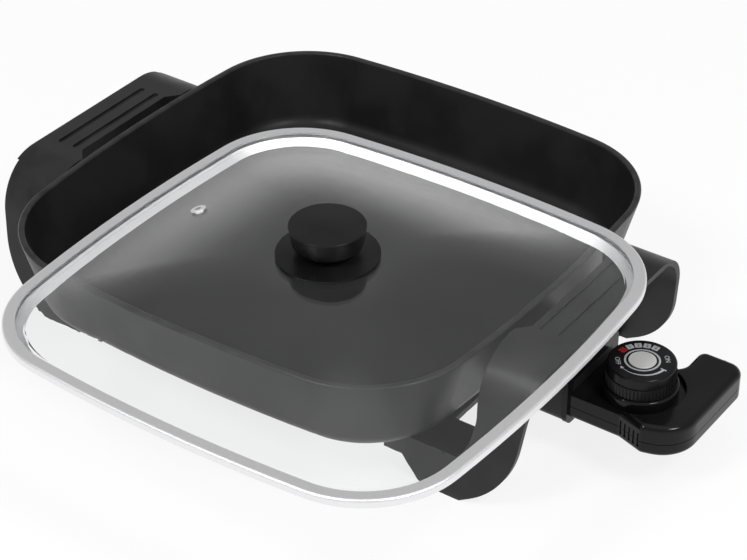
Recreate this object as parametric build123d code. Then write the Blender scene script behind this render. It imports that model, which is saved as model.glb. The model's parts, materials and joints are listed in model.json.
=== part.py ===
from build123d import *
import math
import os

# Square electric skillet with a loose glass lid and a plug-in heat control, in millimetres.
# The origin is on the table under the pan's centre. +X points at the control, +Z up.

# Pan casting
rim_half = 150.0  # half of the pan's width, measured across the rim
rim_corner = 66.0  # corner radius at the rim
side_bow = 1000.0  # radius of the slightly bowed sides at the rim
pan_depth = 51.0  # rim down to the underside
pan_wall = 4.0
pan_floor = 4.5
pan_draft = 15.0  # lean of the side walls, degrees
pan_bottom_round = 14.0
rim_edge_round = 1.2

# Handle with legs, one moulding on each end; lengths along X count from the rim
grip_depth = 36.0  # rim to the grip's outer edge
grip_below_rim = 1.5
grip_lip = 3.4  # height of the grip's edge
lip_overhang = 1.5  # grip's outer edge beyond the top of the leg
slot_width = 7.2  # finger slot between rim and grip
slot_half = 38.0
slot_rim_half = 48.0
slot_wall = 2.4  # wall that hangs from the slot's outer edge
slot_wall_depth = 12.0
handle_skin = 3.6
arch_half_top = 78.5
arch_half_foot = 91.5
arch_round = 34.0
leg_arc_radius = 52.0
hip_inset = 9.4  # where the leg's two outer edges would meet, in from the grip's edge
hip_height = 16.7
neck_out = 3.2  # inner edge of the leg where it leaves the grip
neck_rise = 15.0
neck_round = 20.0
knee_out = 0.4
knee_rise = 11.0
strap_reach = 52.0  # the leg's strap runs in under the pan by this much
strap_low = 12.0
strap_width = 12.0
strap_round = 11.0
foot_reach = 28.0  # inner end of the foot
foot_length = 26.0
foot_sole = 3.0
foot_sole_width = 10.0
foot_sole_margin = 4.5
cross_plate = 3.5
cross_plate_drop = 4.0  # cross plate's top below the strap's top
shelf_half = 56.0  # the plate is wider beyond this, as a shelf inside each leg
shelf_inset = 4.0
groove_width = 3.6
groove_depth = 1.2
groove_half = 37.0
groove_start = 6.2  # first groove's centre from the finger slot
groove_step = 11.0
handle_gap = 0.6  # handle to pan wall

# Handle screws, the bosses they pass and the pads they reach on the pan's underside
pad_y = 62.0
pad_radius = 7.0
pad_height = 4.0
boss_radius = 6.5
boss_height = 13.0
screw_radius = 2.0
screw_grip = 3.0  # length of thread in the pan's pad
screw_head_radius = 4.2
screw_head = 2.4
screw_clearance = 0.2

# Tubular heating element in a groove of the pan's underside
element_radius = 3.5
element_sink = 1.5  # how deep the tube lies in the casting
element_pad_gap = 11.5
element_near_shift = 7.0  # side next to the control lies further out
element_bend = 30.0
element_end_bend = 12.0
element_clearance = 0.15
terminal_half = 15.0  # terminals left and right of the sensor
terminal_setback = 12.0  # rim to where the pins start
pin_length = 28.0
pin_radius = 2.5
pin_tip_round = 1.5
bead_length = 4.0

# Sensor well cast under the pan, and the probe that runs into it
well_drop = 6.0  # pan's underside to the well's axis
well_reach = 90.0  # rim to the well's inner end
well_length = 58.0
well_wall = 3.3
well_tip_wall = 6.0
probe_radius = 3.0
probe_clearance = 0.2
probe_end_gap = 4.0
probe_tip_round = 2.0

# Socket guard round the terminals
guard_reach = 21.5  # rim to the guard's mouth
guard_height = 33.0
guard_wall = 2.5
guard_round = 5.0
plug_gap = 1.0
tongue_length = 22.0
tongue_margin = 0.8
tongue_screw_half = 13.0

# Heat control; lengths along X count from the back of its flange
flange_gap = 0.5
flange_thick = 3.0
flange_margin = 2.0
flange_rise = 0.5
flange_height = 35.5
flange_round = 6.0
nose_length = 25.0
nose_wall = 2.3
nose_below = 10.5  # terminals down to the plug block's underside
nose_height = 23.5
nose_round = 3.0
sleeve_radius = 4.2
sleeve_clearance = 0.1
neck_margin = 3.5
neck_length = 31.0
block_bulge = 5.0  # outer block stands out on the near side
block_step = 16.0  # the near side flares out over this length
block_length = 21.5
block_slant = 6.0  # and draws in again towards the end
block_round = 22.0
hook_width = 28.0
hook_length = 24.0
hook_round = 9.0
notch_round = 9.0
corner_round = 5.0
probe_floor_gap = 0.3
shell_wall = 2.2
shell_below_split = 8.5
shell_neck_height = 16.0  # underside to the lower deck round the dial
deck_step = 3.0  # outer block stands above that deck
shell_edge_round = 3.6
deck_edge_round = 1.6
shell_floor_round = 3.2
vent_count = 5
vent_start = 1.6  # first vent after the start of the flare
vent_step = 3.2
vent_width = 1.4
vent_depth = 1.0
vent_rise = 4.0
vent_height = 9.0
parting_gap = 0.4  # fine groove where the two shells meet
parting_depth = 0.4

# Dial
dial_setback = 29.5
dial_radius = 19.5
dial_skirt = 6.5
dial_cap = 6.5
cap_step = 0.7
dial_round = 1.2
dial_notches = 60
dial_notch_radius = 0.45
turret_margin = 1.5
turret_height = 7.1
turret_gap = 0.4
deck_gap = 4.0  # turret to the step up to the outer block
lens_radius = 7.6
lens_thick = 1.4
lens_proud = 0.5
lens_round = 0.4
lens_clearance = 0.1
shaft_radius = 3.0
shaft_clearance = 0.05
shaft_grip = 9.0
shaft_press_gap = 0.3  # shaft's end to the contact arm that it presses

# Inside of the control
base_setback = 7.0
base_length = 44.0
base_half = 14.0
base_thick = 1.5
stack_setback = 4.0
stack_size = 8.0
arm_thick = 0.6
arm_width = 7.0
arm_gap = 1.4
arm_overrun = 3.5
contact_radius = 1.8
contact_height = 0.5
lamp_radius = 2.6
lamp_length = 9.0
lamp_round = 2.0
lamp_gap = 3.4
inlet_radius = 3.6
bushing_wall = 1.6
bushing_lip = 1.2
housing_screw_radius = 1.4
housing_screw_head_radius = 2.8
housing_screw_head = 1.8
housing_post_radius = 3.4
housing_post_gap = 1.0

# Lid
lid_seat_depth = 12.0  # how far below the rim the closed lid's band meets the wall
lid_shift_x = 59.6  # the lid lies ajar, pulled towards the front corner
lid_shift_y = -86.0
lid_rest_gap = 0.5
band_sheet = 1.0
band_leg = 7.0
band_round = 1.6
lip_drop = 4.0
lip_run = 4.8
glass_thick = 3.0
glass_gap = 0.2
dome_edge_gap = 1.6
dome_rise = 25.3
dome_flat_margin = 2.0
dome_rings = 5
dome_ease = 1.25  # above 1 the glass leaves the band more gently
vent_inset = 45.8
vent_side = 11.0
vent_radius = 2.5
grommet_flange = 4.5
grommet_sheet = 0.8
grommet_round = 0.5

# Lid knob
skirt_radius = 28.0
skirt_edge = 1.6
skirt_height = 3.0
knob_radius = 21.0
knob_neck = 12.5
knob_height = 16.0
knob_rim = 6.0
knob_round = 2.0
knob_waist = 4.0  # height of the straight neck
knob_waist_flare = 1.5
insert_radius = 3.8
insert_length = 9.0
insert_end = 1.0
lid_screw_radius = 2.5
lid_screw_head_radius = 5.0
lid_screw_head = 2.6
lid_screw_round = 1.3
lid_screw_room = 0.7
washer_radius = 11.0
washer_thick = 1.5

# Joined shapes run this far into each other, and cuts this far past a face
overlap = 1.0

# Heights that follow, from the table up
strap_high = strap_low + strap_width
cross_plate_top = strap_high - cross_plate_drop
cross_plate_low = cross_plate_top - cross_plate
pad_low = cross_plate_top + boss_height
pan_under = pad_low + pad_height
floor_top = pan_under + pan_floor
rim_height = pan_under + pan_depth
grip_height = rim_height - grip_below_rim
element_z = pan_under + element_sink - element_radius
well_z = pan_under - well_drop
guard_low = cross_plate_top
guard_high = guard_low + guard_height
flange_low = guard_low + flange_rise
nose_low = element_z - nose_below
shell_floor = well_z - probe_radius - probe_floor_gap
shell_low = shell_floor - shell_wall
shell_split = shell_low + shell_below_split
deck_z = shell_low + shell_neck_height
shell_roof = deck_z - shell_wall
shell_top = deck_z + deck_step
inlet_z = (shell_low + shell_top) / 2
turret_top = deck_z + turret_height
dial_low = turret_top + turret_gap
dial_skirt_top = dial_low + dial_skirt
dial_top = dial_skirt_top + dial_cap
lens_low = dial_top + lens_proud - lens_thick
lower_arm = shell_floor + base_thick + arm_gap
upper_arm = lower_arm + arm_thick + arm_gap
shaft_low = upper_arm + arm_thick + shaft_press_gap

# Places along X that follow, from the rim outwards
grip_reach = rim_half + grip_depth
slot_outer = rim_half + slot_width
strap_inner = rim_half - strap_reach
foot_inner = rim_half - foot_reach
pad_x = (strap_inner + foot_inner) / 2
element_half = pad_x - pad_radius - element_radius - element_pad_gap
element_near = element_half + element_near_shift
terminal_start = rim_half - terminal_setback
well_inner = rim_half - well_reach
well_outer = well_inner + well_length
probe_tip = well_inner + well_tip_wall + probe_end_gap
guard_outer = rim_half + guard_reach
flange_face = guard_outer + flange_gap
body_start = flange_face + flange_thick
nose_start = body_start - nose_length
block_start = body_start + neck_length
control_end = block_start + block_step + block_length
hook_inner = control_end - hook_width
inlet_x = control_end - hook_width / 2
dial_x = body_start + dial_setback
base_start = body_start + base_setback
base_end = base_start + base_length
stack_x = base_start + stack_setback
arm_end = dial_x + arm_overrun
lamp_x = base_end + lamp_gap + lamp_radius

# Widths that follow
draft_run = math.tan(math.radians(pan_draft))
cheek_lean = (arch_half_foot - arch_half_top) / grip_height
well_boss_radius = probe_radius + probe_clearance + well_wall
tongue_half = tongue_screw_half + screw_head_radius + tongue_margin
nose_half = terminal_half + sleeve_radius + nose_wall
guard_half = nose_half + plug_gap + guard_wall
flange_half = guard_half + flange_margin
neck_half = nose_half + neck_margin
block_half = neck_half + block_bulge
hook_end = neck_half + hook_length
turret_radius = dial_radius + turret_margin

# Lid sizes that follow, counted from the band's underside
lid_half = rim_half - pan_wall - lid_seat_depth * draft_run
lid_corner = rim_corner - (rim_half - lid_half)
lid_bow = side_bow - (rim_half - lid_half)
lid_base = rim_height + lid_rest_gap + lip_drop
band_height = 2 * (band_sheet + glass_gap) + glass_thick
glass_low = band_sheet + glass_gap
glass_edge_top = glass_low + glass_thick
dome_foot = lid_half - band_leg - dome_edge_gap
dome_top = glass_edge_top + dome_rise
dome_top_half = skirt_radius + dome_flat_margin
glass_hole = lid_screw_radius + lid_screw_room
knob_low = dome_top + skirt_height
washer_low = dome_top - glass_thick - washer_thick

BASE = (Align.CENTER, Align.CENTER, Align.MIN)
TOP = (Align.CENTER, Align.CENTER, Align.MAX)
ALONG_X = (Align.MIN, Align.CENTER, Align.MIN)
WEST = (Align.MIN, Align.CENTER)


def bowed_square(inset, height, half=rim_half, corner=rim_corner, bow=side_bow):
    """Face of a square with bowed sides and round corners, all tangent, drawn in by inset."""
    a = half - inset
    r = corner - inset
    s = bow - inset
    k = s - a
    p = (math.sqrt(2 * (s - r) ** 2 - k**2) - k) / 2
    tangent = Vector(p + k, p) * (s / (s - r)) - Vector(k, 0)
    diagonal = p + r / math.sqrt(2)
    side = ThreePointArc((tangent.X, -tangent.Y), (a, 0), (tangent.X, tangent.Y))
    turn = ThreePointArc((tangent.X, tangent.Y), (diagonal, diagonal), (tangent.Y, tangent.X))
    edges = [Rot(Z=90 * i) * e for i in range(4) for e in (side, turn)]
    return Pos(Z=height) * make_face(edges)


def similar_square(half, height):
    """The lid's outline scaled down to a half width, for the rising rings of the glass."""
    scale = half / lid_half
    return bowed_square(0, height, half, lid_corner * scale, lid_bow * scale)


def drafted_vessel(inset, depth, bottom_round):
    """Solid bowl shape that hangs from the rim plane."""
    body = extrude(bowed_square(inset, rim_height), amount=depth, dir=(0, 0, -1), taper=pan_draft)
    return fillet(body.edges().group_by(Axis.Z)[0], bottom_round)


def cylinder_between(start, end, radius):
    """Round bar from one point to another."""
    axis = Vector(*end) - Vector(*start)
    return extrude(Plane(start, z_dir=axis) * Circle(radius), amount=axis.length)


def rounded_bar(x_low, x_high, half, low, high, radius):
    """Bar along X with a rounded rectangular section."""
    section = Plane.YZ * Pos(0, (low + high) / 2) * RectangleRounded(2 * half, high - low, radius)
    return Pos(X=x_low) * extrude(section, amount=x_high - x_low)


def pad_places():
    return [(sx * pad_x, sy * pad_y) for sx in (-1, 1) for sy in (-1, 1)]


def element_path():
    """Centre line of the heating element: out, round the loop and back."""
    points = [
        (terminal_start, terminal_half),
        (element_near, terminal_half),
        (element_near, element_half),
        (-element_half, element_half),
        (-element_half, -element_half),
        (element_near, -element_half),
        (element_near, -terminal_half),
        (terminal_start, -terminal_half),
    ]
    radii = [element_end_bend] + [element_bend] * 4 + [element_end_bend]
    return Pos(Z=element_z) * FilletPolyline(*points, radius=radii)


def element_tube(radius):
    """Tube of a radius along the element's centre line."""
    path = element_path()
    return sweep((path ^ 0) * Circle(radius), path=path)


def make_pan():
    """Drafted casting with screw pads, element groove and sensor well on its underside."""
    outer = drafted_vessel(0, pan_depth, pan_bottom_round)
    pan = outer - drafted_vessel(pan_wall, pan_depth - pan_floor, pan_bottom_round - pan_wall)
    pan = fillet(pan.faces().sort_by(Axis.Z)[-1].edges(), rim_edge_round)
    for x, y in pad_places():
        pan += Pos(x, y, pad_low) * Cylinder(pad_radius, pad_height + overlap, align=BASE)
    pan += cylinder_between((well_inner, 0, well_z), (well_outer, 0, well_z), well_boss_radius)
    web = Box(well_length, 2 * well_boss_radius, pan_under + overlap - well_z, align=ALONG_X)
    pan += Pos(well_inner, 0, well_z) * web
    well_end = (well_inner + well_tip_wall, 0, well_z)
    well_mouth = (well_outer + overlap, 0, well_z)
    pan -= cylinder_between(well_end, well_mouth, probe_radius + probe_clearance)
    hole = Cylinder(screw_radius + screw_clearance, screw_grip + screw_clearance, align=BASE)
    for x, y in pad_places():
        pan -= Pos(x, y, pad_low) * hole
    return pan - element_tube(element_radius + element_clearance)


def leg_outline():
    """Side view of a handle: grip edge, curved leg, foot and the strap under the pan."""
    foot_outer = foot_inner + foot_length
    lip_low = grip_height - grip_lip
    leg_top = (grip_reach - lip_overhang, lip_low)
    inner = rim_half + handle_gap
    knee = (rim_half + knee_out, strap_high + knee_rise)
    neck = (rim_half + neck_out, strap_high + knee_rise + neck_rise)
    hip = (grip_reach - hip_inset, hip_height)
    outer = FilletPolyline(leg_top, hip, (foot_outer, 0), radius=leg_arc_radius)
    frame = Polyline(
        (foot_outer, 0),
        (foot_inner, 0),
        (foot_inner - strap_low, strap_low),
        (strap_inner, strap_low),
        (strap_inner, strap_high),
    )
    window = FilletPolyline(
        (strap_inner, strap_high),
        (knee[0] - strap_round / 2, strap_high),
        knee,
        neck,
        (inner, lip_low),
        (inner, grip_height),
        (grip_reach, grip_height),
        (grip_reach, lip_low),
        leg_top,
        radius=[strap_round / 2, strap_round, neck_round, 0, 0, 0, 0],
    )
    return make_face(outer + frame + window)


def arch_face(skin, below):
    """End view of a handle's arch, drawn in by a skin thickness and carried below the table."""
    lean = math.hypot(1, cheek_lean)
    top = grip_height - skin
    half_top = arch_half_top + cheek_lean * skin - skin * lean
    half_low = arch_half_foot + cheek_lean * below - skin * lean
    points = [(-half_low, -below), (-half_top, top), (half_top, top), (half_low, -below)]
    curve = FilletPolyline(*points, radius=[0, arch_round - skin, arch_round - skin, 0], close=True)
    return Plane.YZ * make_face(curve)


def plate_screw_cuts(places):
    """Clearance holes with head recesses, up through the cross plate."""
    cuts = []
    for x, y in places:
        hole = Cylinder(screw_radius + screw_clearance, pad_low - cross_plate_low, align=BASE)
        head = Cylinder(screw_head_radius + screw_clearance, screw_head, align=BASE)
        cuts.append(Pos(x, y, cross_plate_low) * (hole + head))
    return Compound(cuts)


def slot_face(wall):
    """Plan of the finger slot, grown outwards by a wall."""
    inner = rim_half - overlap
    outer = slot_outer + wall
    points = [
        (inner, -slot_rim_half - wall),
        (outer, -slot_half - wall),
        (outer, slot_half + wall),
        (inner, slot_rim_half + wall),
    ]
    return make_face(Polyline(*points, close=True))


def make_handle():
    """Grip, two legs and the cross plate under the pan, as one moulding on the +X end."""
    band = extrude(arch_face(0, 0) - arch_face(handle_skin, overlap), amount=grip_reach)
    side = extrude(Plane.XZ * leg_outline(), amount=arch_half_foot + overlap, both=True)
    handle = band & side
    inside = extrude(arch_face(handle_skin / 2, overlap), amount=grip_reach)
    plate = Box(foot_inner - strap_inner, 2 * arch_half_foot, cross_plate, align=ALONG_X)
    shelf = Box(strap_reach - shelf_inset, 2 * arch_half_foot, cross_plate, align=ALONG_X)
    shelf -= Box(2 * strap_reach, 2 * shelf_half, 2 * cross_plate)
    handle += Pos(strap_inner, 0, cross_plate_low) * (plate + shelf) & inside
    sole = Box(foot_length - foot_sole_margin, 2 * arch_half_foot, foot_sole, align=ALONG_X)
    sole_cut = extrude(arch_face(handle_skin + foot_sole_width, overlap), amount=grip_reach)
    handle += (Pos(foot_inner) * sole & inside) - sole_cut
    for sy in (-1, 1):
        handle += Pos(pad_x, sy * pad_y, cross_plate_top) * Cylinder(boss_radius, boss_height, align=BASE)
    handle -= plate_screw_cuts([(pad_x, -pad_y), (pad_x, pad_y)])
    clear = Rectangle(grip_depth, 2 * arch_half_top, align=WEST)
    wall = slot_face(slot_wall) & Pos(rim_half + handle_gap) * clear
    handle += Pos(Z=grip_height - slot_wall_depth) * extrude(wall, amount=slot_wall_depth)
    handle -= Pos(Z=rim_height - pan_depth / 2) * extrude(slot_face(0), amount=pan_depth)
    for i in range(2):
        groove = SlotCenterToCenter(2 * groove_half, groove_width, rotation=90)
        x = slot_outer + groove_start + i * groove_step
        handle -= Pos(x, 0, grip_height - groove_depth) * extrude(groove, amount=groove_depth)
    return handle


def guard_screw_places():
    return [(pad_x, -tongue_screw_half), (pad_x, tongue_screw_half)]


def make_right_handle():
    """The handle on the control's side also takes the guard's two screws."""
    return make_handle() - plate_screw_cuts(guard_screw_places())


def make_screws(places, low, high, radius, head_radius, head):
    """Group of screws with their heads down, one at each place."""
    screws = []
    for x, y in places:
        shank = Cylinder(radius, high - low, align=BASE)
        screws.append(Pos(x, y, low) * (shank + Cylinder(head_radius, head, align=BASE)))
    return Compound(screws)


def make_plate_screws(places, high):
    """Screws whose heads sit in the cross plate."""
    return make_screws(places, cross_plate_low, high, screw_radius, screw_head_radius, screw_head)


def make_handle_screws(side):
    return make_plate_screws([(side * pad_x, -pad_y), (side * pad_x, pad_y)], pad_low + screw_grip)


def make_guard_screws():
    return make_plate_screws(guard_screw_places(), guard_low + guard_wall)


def terminal_bars(x_low, x_high, radius):
    """Two round bars along X on the terminals' axes."""
    bars = []
    for sy in (-1, 1):
        y = sy * terminal_half
        bars.append(cylinder_between((x_low, y, element_z), (x_high, y, element_z), radius))
    return bars


def make_terminal_pins():
    pins = terminal_bars(terminal_start, terminal_start + pin_length, pin_radius)
    return Compound([fillet(pin.faces().sort_by(Axis.X)[-1].edges(), pin_tip_round) for pin in pins])


def make_terminal_beads():
    bead_end = terminal_start + bead_length
    beads = terminal_bars(terminal_start, bead_end, element_radius)
    bores = terminal_bars(terminal_start, bead_end, pin_radius)
    return Compound([bead - bore for bead, bore in zip(beads, bores)])


def make_guard():
    """Open moulded sleeve round the terminals, on a tongue that is screwed to the handle."""
    guard = rounded_bar(foot_inner, guard_outer, guard_half, guard_low, guard_high, guard_round)
    guard -= rounded_bar(
        foot_inner,
        guard_outer,
        guard_half - guard_wall,
        guard_low + guard_wall,
        guard_high - guard_wall,
        guard_round - guard_wall,
    )
    guard -= drafted_vessel(-handle_gap, pan_depth + handle_gap, pan_bottom_round)
    tongue = Box(tongue_length + overlap, 2 * tongue_half, guard_wall, align=ALONG_X)
    guard += Pos(foot_inner - tongue_length, 0, guard_low) * tongue
    for x, y in guard_screw_places():
        guard -= Pos(x, y, guard_low) * Cylinder(screw_radius + screw_clearance, guard_wall, align=BASE)
    return guard


def control_outline(inset):
    """Plan of the control's housing: neck, outer block and hook, drawn in by inset."""
    points = [
        (body_start, -neck_half),
        (block_start, -neck_half),
        (block_start + block_step, -block_half),
        (control_end, block_slant - block_half),
        (control_end, hook_end),
        (hook_inner, hook_end),
        (hook_inner, neck_half),
        (body_start, neck_half),
    ]
    radii = [0, corner_round, corner_round, block_round, hook_round, corner_round, notch_round, 0]
    face = make_face(FilletPolyline(*points, radius=radii, close=True))
    return offset(face, -inset, kind=Kind.INTERSECTION) if inset else face


def free_edges(face):
    """Edges of a housing face, without the one that lies against the flange."""
    return face.edges().filter_by(lambda edge: edge.center().X > body_start + shell_wall / 2)


def housing_screw_places():
    edge = shell_wall + housing_post_gap + housing_post_radius
    near_edge = edge + block_slant
    return [
        (body_start + edge, -neck_half + edge),
        (body_start + edge, neck_half - edge),
        (control_end - near_edge, -block_half + near_edge),
        (control_end - edge, hook_end - edge - corner_round),
    ]


def rear_opening():
    """Opening at the flange through which the plug block enters the housing."""
    return rounded_bar(body_start, body_start + shell_wall, nose_half, shell_floor, shell_roof, nose_round)


def inlet_hole():
    """Round cord inlet in the hook's end face."""
    inner = (inlet_x, hook_end - shell_wall, inlet_z)
    return cylinder_between(inner, (inlet_x, hook_end, inlet_z), inlet_radius + bushing_wall)


def side_vents():
    """Upright grooves on the flare of the near side."""
    cuts = []
    for i in range(vent_count):
        along = vent_start + i * vent_step
        side = neck_half + block_bulge * along / block_step
        place = Pos(block_start + along, -side, shell_low + vent_rise)
        cuts.append(place * Box(vent_width, 2 * vent_depth, vent_height, align=BASE))
    return Compound(cuts)


def dial_deck(wall):
    """Space above the lower deck, the neck and a round bay about the dial, grown by a wall."""
    bay = Circle(turret_radius + deck_gap + wall)
    neck = Pos(-dial_setback / 2) * Rectangle(dial_setback, 2 * block_half)
    return Pos(dial_x, 0, deck_z - wall) * extrude(bay + neck, amount=shell_top)


def make_top_shell():
    """Upper housing: a low deck with the dial's turret, and the higher block and hook."""
    block = Pos(Z=shell_split) * extrude(control_outline(0), amount=shell_top - shell_split)
    block = fillet(free_edges(block.faces().sort_by(Axis.Z)[-1]), shell_edge_round)
    deck = Pos(Z=shell_split) * extrude(control_outline(0), amount=deck_z - shell_split)
    deck = fillet(free_edges(deck.faces().sort_by(Axis.Z)[-1]), deck_edge_round)
    shell = deck + (block - dial_deck(0))
    cavity = extrude(control_outline(shell_wall), amount=shell_top - shell_wall - shell_split)
    cavity = Pos(Z=shell_split) * cavity - dial_deck(shell_wall)
    post = Cylinder(housing_post_radius, shell_top - shell_split, align=BASE)
    for x, y in housing_screw_places():
        cavity -= Pos(x, y, shell_split) * post
    shell -= cavity
    turret = Pos(dial_x, 0, shell_roof) * Cylinder(turret_radius, turret_top - shell_roof, align=BASE)
    shell += fillet(turret.faces().sort_by(Axis.Z)[-1].edges(), dial_round)
    bearing = Cylinder(shaft_radius + shaft_clearance, turret_top - shell_split, align=BASE)
    shell -= Pos(dial_x, 0, shell_split) * bearing
    hole = Cylinder(housing_screw_radius, shell_roof - shell_wall - shell_split, align=BASE)
    for x, y in housing_screw_places():
        shell -= Pos(x, y, shell_split) * hole
    shell -= rear_opening()
    shell -= inlet_hole()
    return shell - side_vents()


def make_bottom_shell():
    """Lower housing: a tray with screw posts."""
    shell = Pos(Z=shell_low) * extrude(control_outline(0), amount=shell_split - shell_low)
    shell = fillet(free_edges(shell.faces().sort_by(Axis.Z)[0]), shell_floor_round)
    groove = extrude(control_outline(0) - control_outline(parting_depth), amount=parting_gap)
    shell -= Pos(Z=shell_split - parting_gap) * groove
    cavity = extrude(control_outline(shell_wall), amount=shell_split - shell_floor)
    shell -= Pos(Z=shell_floor) * cavity
    post = Cylinder(housing_post_radius, shell_split - shell_floor, align=BASE)
    hole = Cylinder(housing_screw_radius + screw_clearance, shell_split - shell_low, align=BASE)
    head = Cylinder(housing_screw_head_radius + screw_clearance, housing_screw_head, align=BASE)
    for x, y in housing_screw_places():
        shell += Pos(x, y, shell_floor) * post
        shell -= Pos(x, y, shell_low) * (hole + head)
    shell -= rear_opening()
    shell -= inlet_hole()
    return shell - side_vents()


def make_housing_screws():
    return make_screws(
        housing_screw_places(),
        shell_low,
        shell_roof - shell_wall,
        housing_screw_radius,
        housing_screw_head_radius,
        housing_screw_head,
    )


def plug_bar(x_low, x_high):
    """Stretch of the plug block's full section."""
    return rounded_bar(x_low, x_high, nose_half, nose_low, nose_low + nose_height, nose_round)


def make_flange():
    """Finger guard between the plug block and the housing."""
    flange_high = flange_low + flange_height
    plate = rounded_bar(flange_face, body_start, flange_half, flange_low, flange_high, flange_round)
    return plate - plug_bar(flange_face, body_start)


def make_plug_block():
    """Heat-resistant block that carries the contact sleeves and the probe into the socket."""
    block = plug_bar(nose_start, body_start)
    for bore in terminal_bars(nose_start, body_start, sleeve_radius):
        block -= bore
    return block - cylinder_between((nose_start, 0, well_z), (body_start, 0, well_z), probe_radius)


def make_contact_sleeves():
    sleeves = terminal_bars(nose_start, body_start, sleeve_radius)
    bores = terminal_bars(nose_start, body_start, pin_radius + sleeve_clearance)
    return Compound([sleeve - bore for sleeve, bore in zip(sleeves, bores)])


def make_probe():
    rod = cylinder_between((probe_tip, 0, well_z), (base_start, 0, well_z), probe_radius)
    return fillet(rod.faces().sort_by(Axis.X)[0].edges(), probe_tip_round)


def make_bushing():
    """Ring that lines the cord inlet."""
    inner = (inlet_x, hook_end - shell_wall, inlet_z)
    outer = (inlet_x, hook_end + bushing_lip, inlet_z)
    ring = cylinder_between(inner, outer, inlet_radius + bushing_wall)
    ring += cylinder_between((inlet_x, hook_end, inlet_z), outer, inlet_radius + 2 * bushing_wall)
    return ring - cylinder_between(inner, outer, inlet_radius)


def make_thermostat_base():
    """Plate on the housing's floor that carries the switch."""
    return Pos(base_start, 0, shell_floor) * Box(base_length, 2 * base_half, base_thick, align=ALONG_X)


def make_contact_stack():
    """Insulating post, slotted for the two arms that it clamps."""
    low = shell_floor + base_thick
    top = upper_arm + arm_thick + arm_gap
    post = Pos(stack_x, 0, low) * Box(stack_size, stack_size, top - low, align=ALONG_X)
    for z in (lower_arm, upper_arm):
        post -= Pos(stack_x, 0, z) * Box(stack_size, arm_width, arm_thick, align=ALONG_X)
    return post


def make_contact_arms():
    """Two spring arms whose contacts face each other under the dial's shaft."""
    arm = Box(arm_end - stack_x, arm_width, arm_thick, align=ALONG_X)
    button = Cylinder(contact_radius, contact_height, align=BASE)
    button_x = arm_end - arm_width / 2
    lower = Pos(stack_x, 0, lower_arm) * arm + Pos(button_x, 0, lower_arm + arm_thick) * button
    upper = Pos(stack_x, 0, upper_arm) * arm + Pos(button_x, 0, upper_arm - contact_height) * button
    return Compound([lower, upper])


def make_pilot_lamp():
    """Small glow lamp lying on the housing's floor."""
    z = shell_floor + lamp_radius
    lamp = cylinder_between((lamp_x, -lamp_length, z), (lamp_x, 0, z), lamp_radius)
    return fillet(lamp.faces().sort_by(Axis.Y)[-1].edges(), lamp_round)


def make_dial():
    """Smooth cap on a fluted skirt, with a pocket for the lens and a bore for the shaft."""
    notches = PolarLocations(dial_radius, dial_notches) * Circle(dial_notch_radius)
    skirt = extrude(Circle(dial_radius) - notches, amount=dial_skirt)
    cap = Pos(Z=dial_skirt) * Cylinder(dial_radius - cap_step, dial_cap, align=BASE)
    dial = skirt + fillet(cap.faces().sort_by(Axis.Z)[-1].edges(), dial_round)
    dial -= Pos(Z=lens_low - dial_low) * Cylinder(lens_radius + lens_clearance, lens_thick, align=BASE)
    dial -= Cylinder(shaft_radius, shaft_grip, align=BASE)
    return Pos(dial_x, 0, dial_low) * dial


def make_dial_lens():
    lens = Pos(dial_x, 0, lens_low) * Cylinder(lens_radius, lens_thick, align=BASE)
    return fillet(lens.faces().sort_by(Axis.Z)[-1].edges(), lens_round)


def make_dial_shaft():
    return Pos(dial_x, 0, shaft_low) * Cylinder(shaft_radius, dial_low + shaft_grip - shaft_low, align=BASE)


def lid_square(inset, height):
    return bowed_square(inset, height, lid_half, lid_corner, lid_bow)


def lid_slab(inset, low, high):
    return extrude(lid_square(inset, low), amount=high - low)


def make_lid_band():
    """Steel channel round the glass, with a sloping lip that drops inside the pan."""
    band = lid_slab(0, 0, band_height)
    levels = band.edges().group_by(Axis.Z)
    band = fillet(levels[0] + levels[-1], band_round)
    band -= lid_slab(band_leg, 0, band_height)
    band -= lid_slab(band_sheet, band_sheet, band_height - band_sheet)
    slope = math.degrees(math.atan2(lip_run, lip_drop))
    lip = extrude(lid_square(band_leg - band_sheet, 0), amount=lip_drop, dir=(0, 0, -1), taper=slope)
    hollow = extrude(lid_square(band_leg, 0), amount=lip_drop, dir=(0, 0, -1), taper=slope)
    return band + (lip - hollow)


def dome(foot_half, foot_z, top_z):
    """Smooth dome over the lid's outline with a flat top."""
    rings = []
    for i in range(dome_rings + 1):
        t = i / dome_rings
        half = foot_half + (dome_top_half - foot_half) * t
        rise = math.sin(t * math.pi / 2) ** dome_ease
        rings.append(similar_square(half, foot_z + (top_z - foot_z) * rise))
    return loft(rings)


def make_lid_glass():
    """Pressed glass: a flat edge in the band, a dome and the knob's hole."""
    glass = lid_slab(band_sheet + glass_gap, glass_low, glass_edge_top)
    glass += dome(dome_foot, glass_edge_top, dome_top)
    glass -= dome(dome_foot - glass_thick / 2, glass_low, dome_top - glass_thick)
    return glass - Pos(Z=glass_low) * Cylinder(glass_hole, dome_top, align=BASE)


def grommet_plane(glass):
    """Plane on the outside of the glass at the steam vent."""
    hits = glass.find_intersection_points(Axis((vent_inset - lid_half, vent_side, 0), (0, 0, 1)))
    point, normal = max(hits, key=lambda hit: hit[0].Z)
    if normal.Z < 0:
        normal = -normal
    return Plane(point, z_dir=normal)


def make_grommet(plane):
    """Steel eyelet through the glass, with its flange on the outside."""
    tube = Cylinder(vent_radius, glass_thick + grommet_sheet, align=TOP)
    ring = Cylinder(grommet_flange, grommet_sheet, align=BASE)
    ring = fillet(ring.faces().sort_by(Axis.Z)[-1].edges(), grommet_round)
    bore = Cylinder(vent_radius - grommet_sheet, 4 * (glass_thick + grommet_sheet))
    return plane * (tube + ring - bore)


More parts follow.
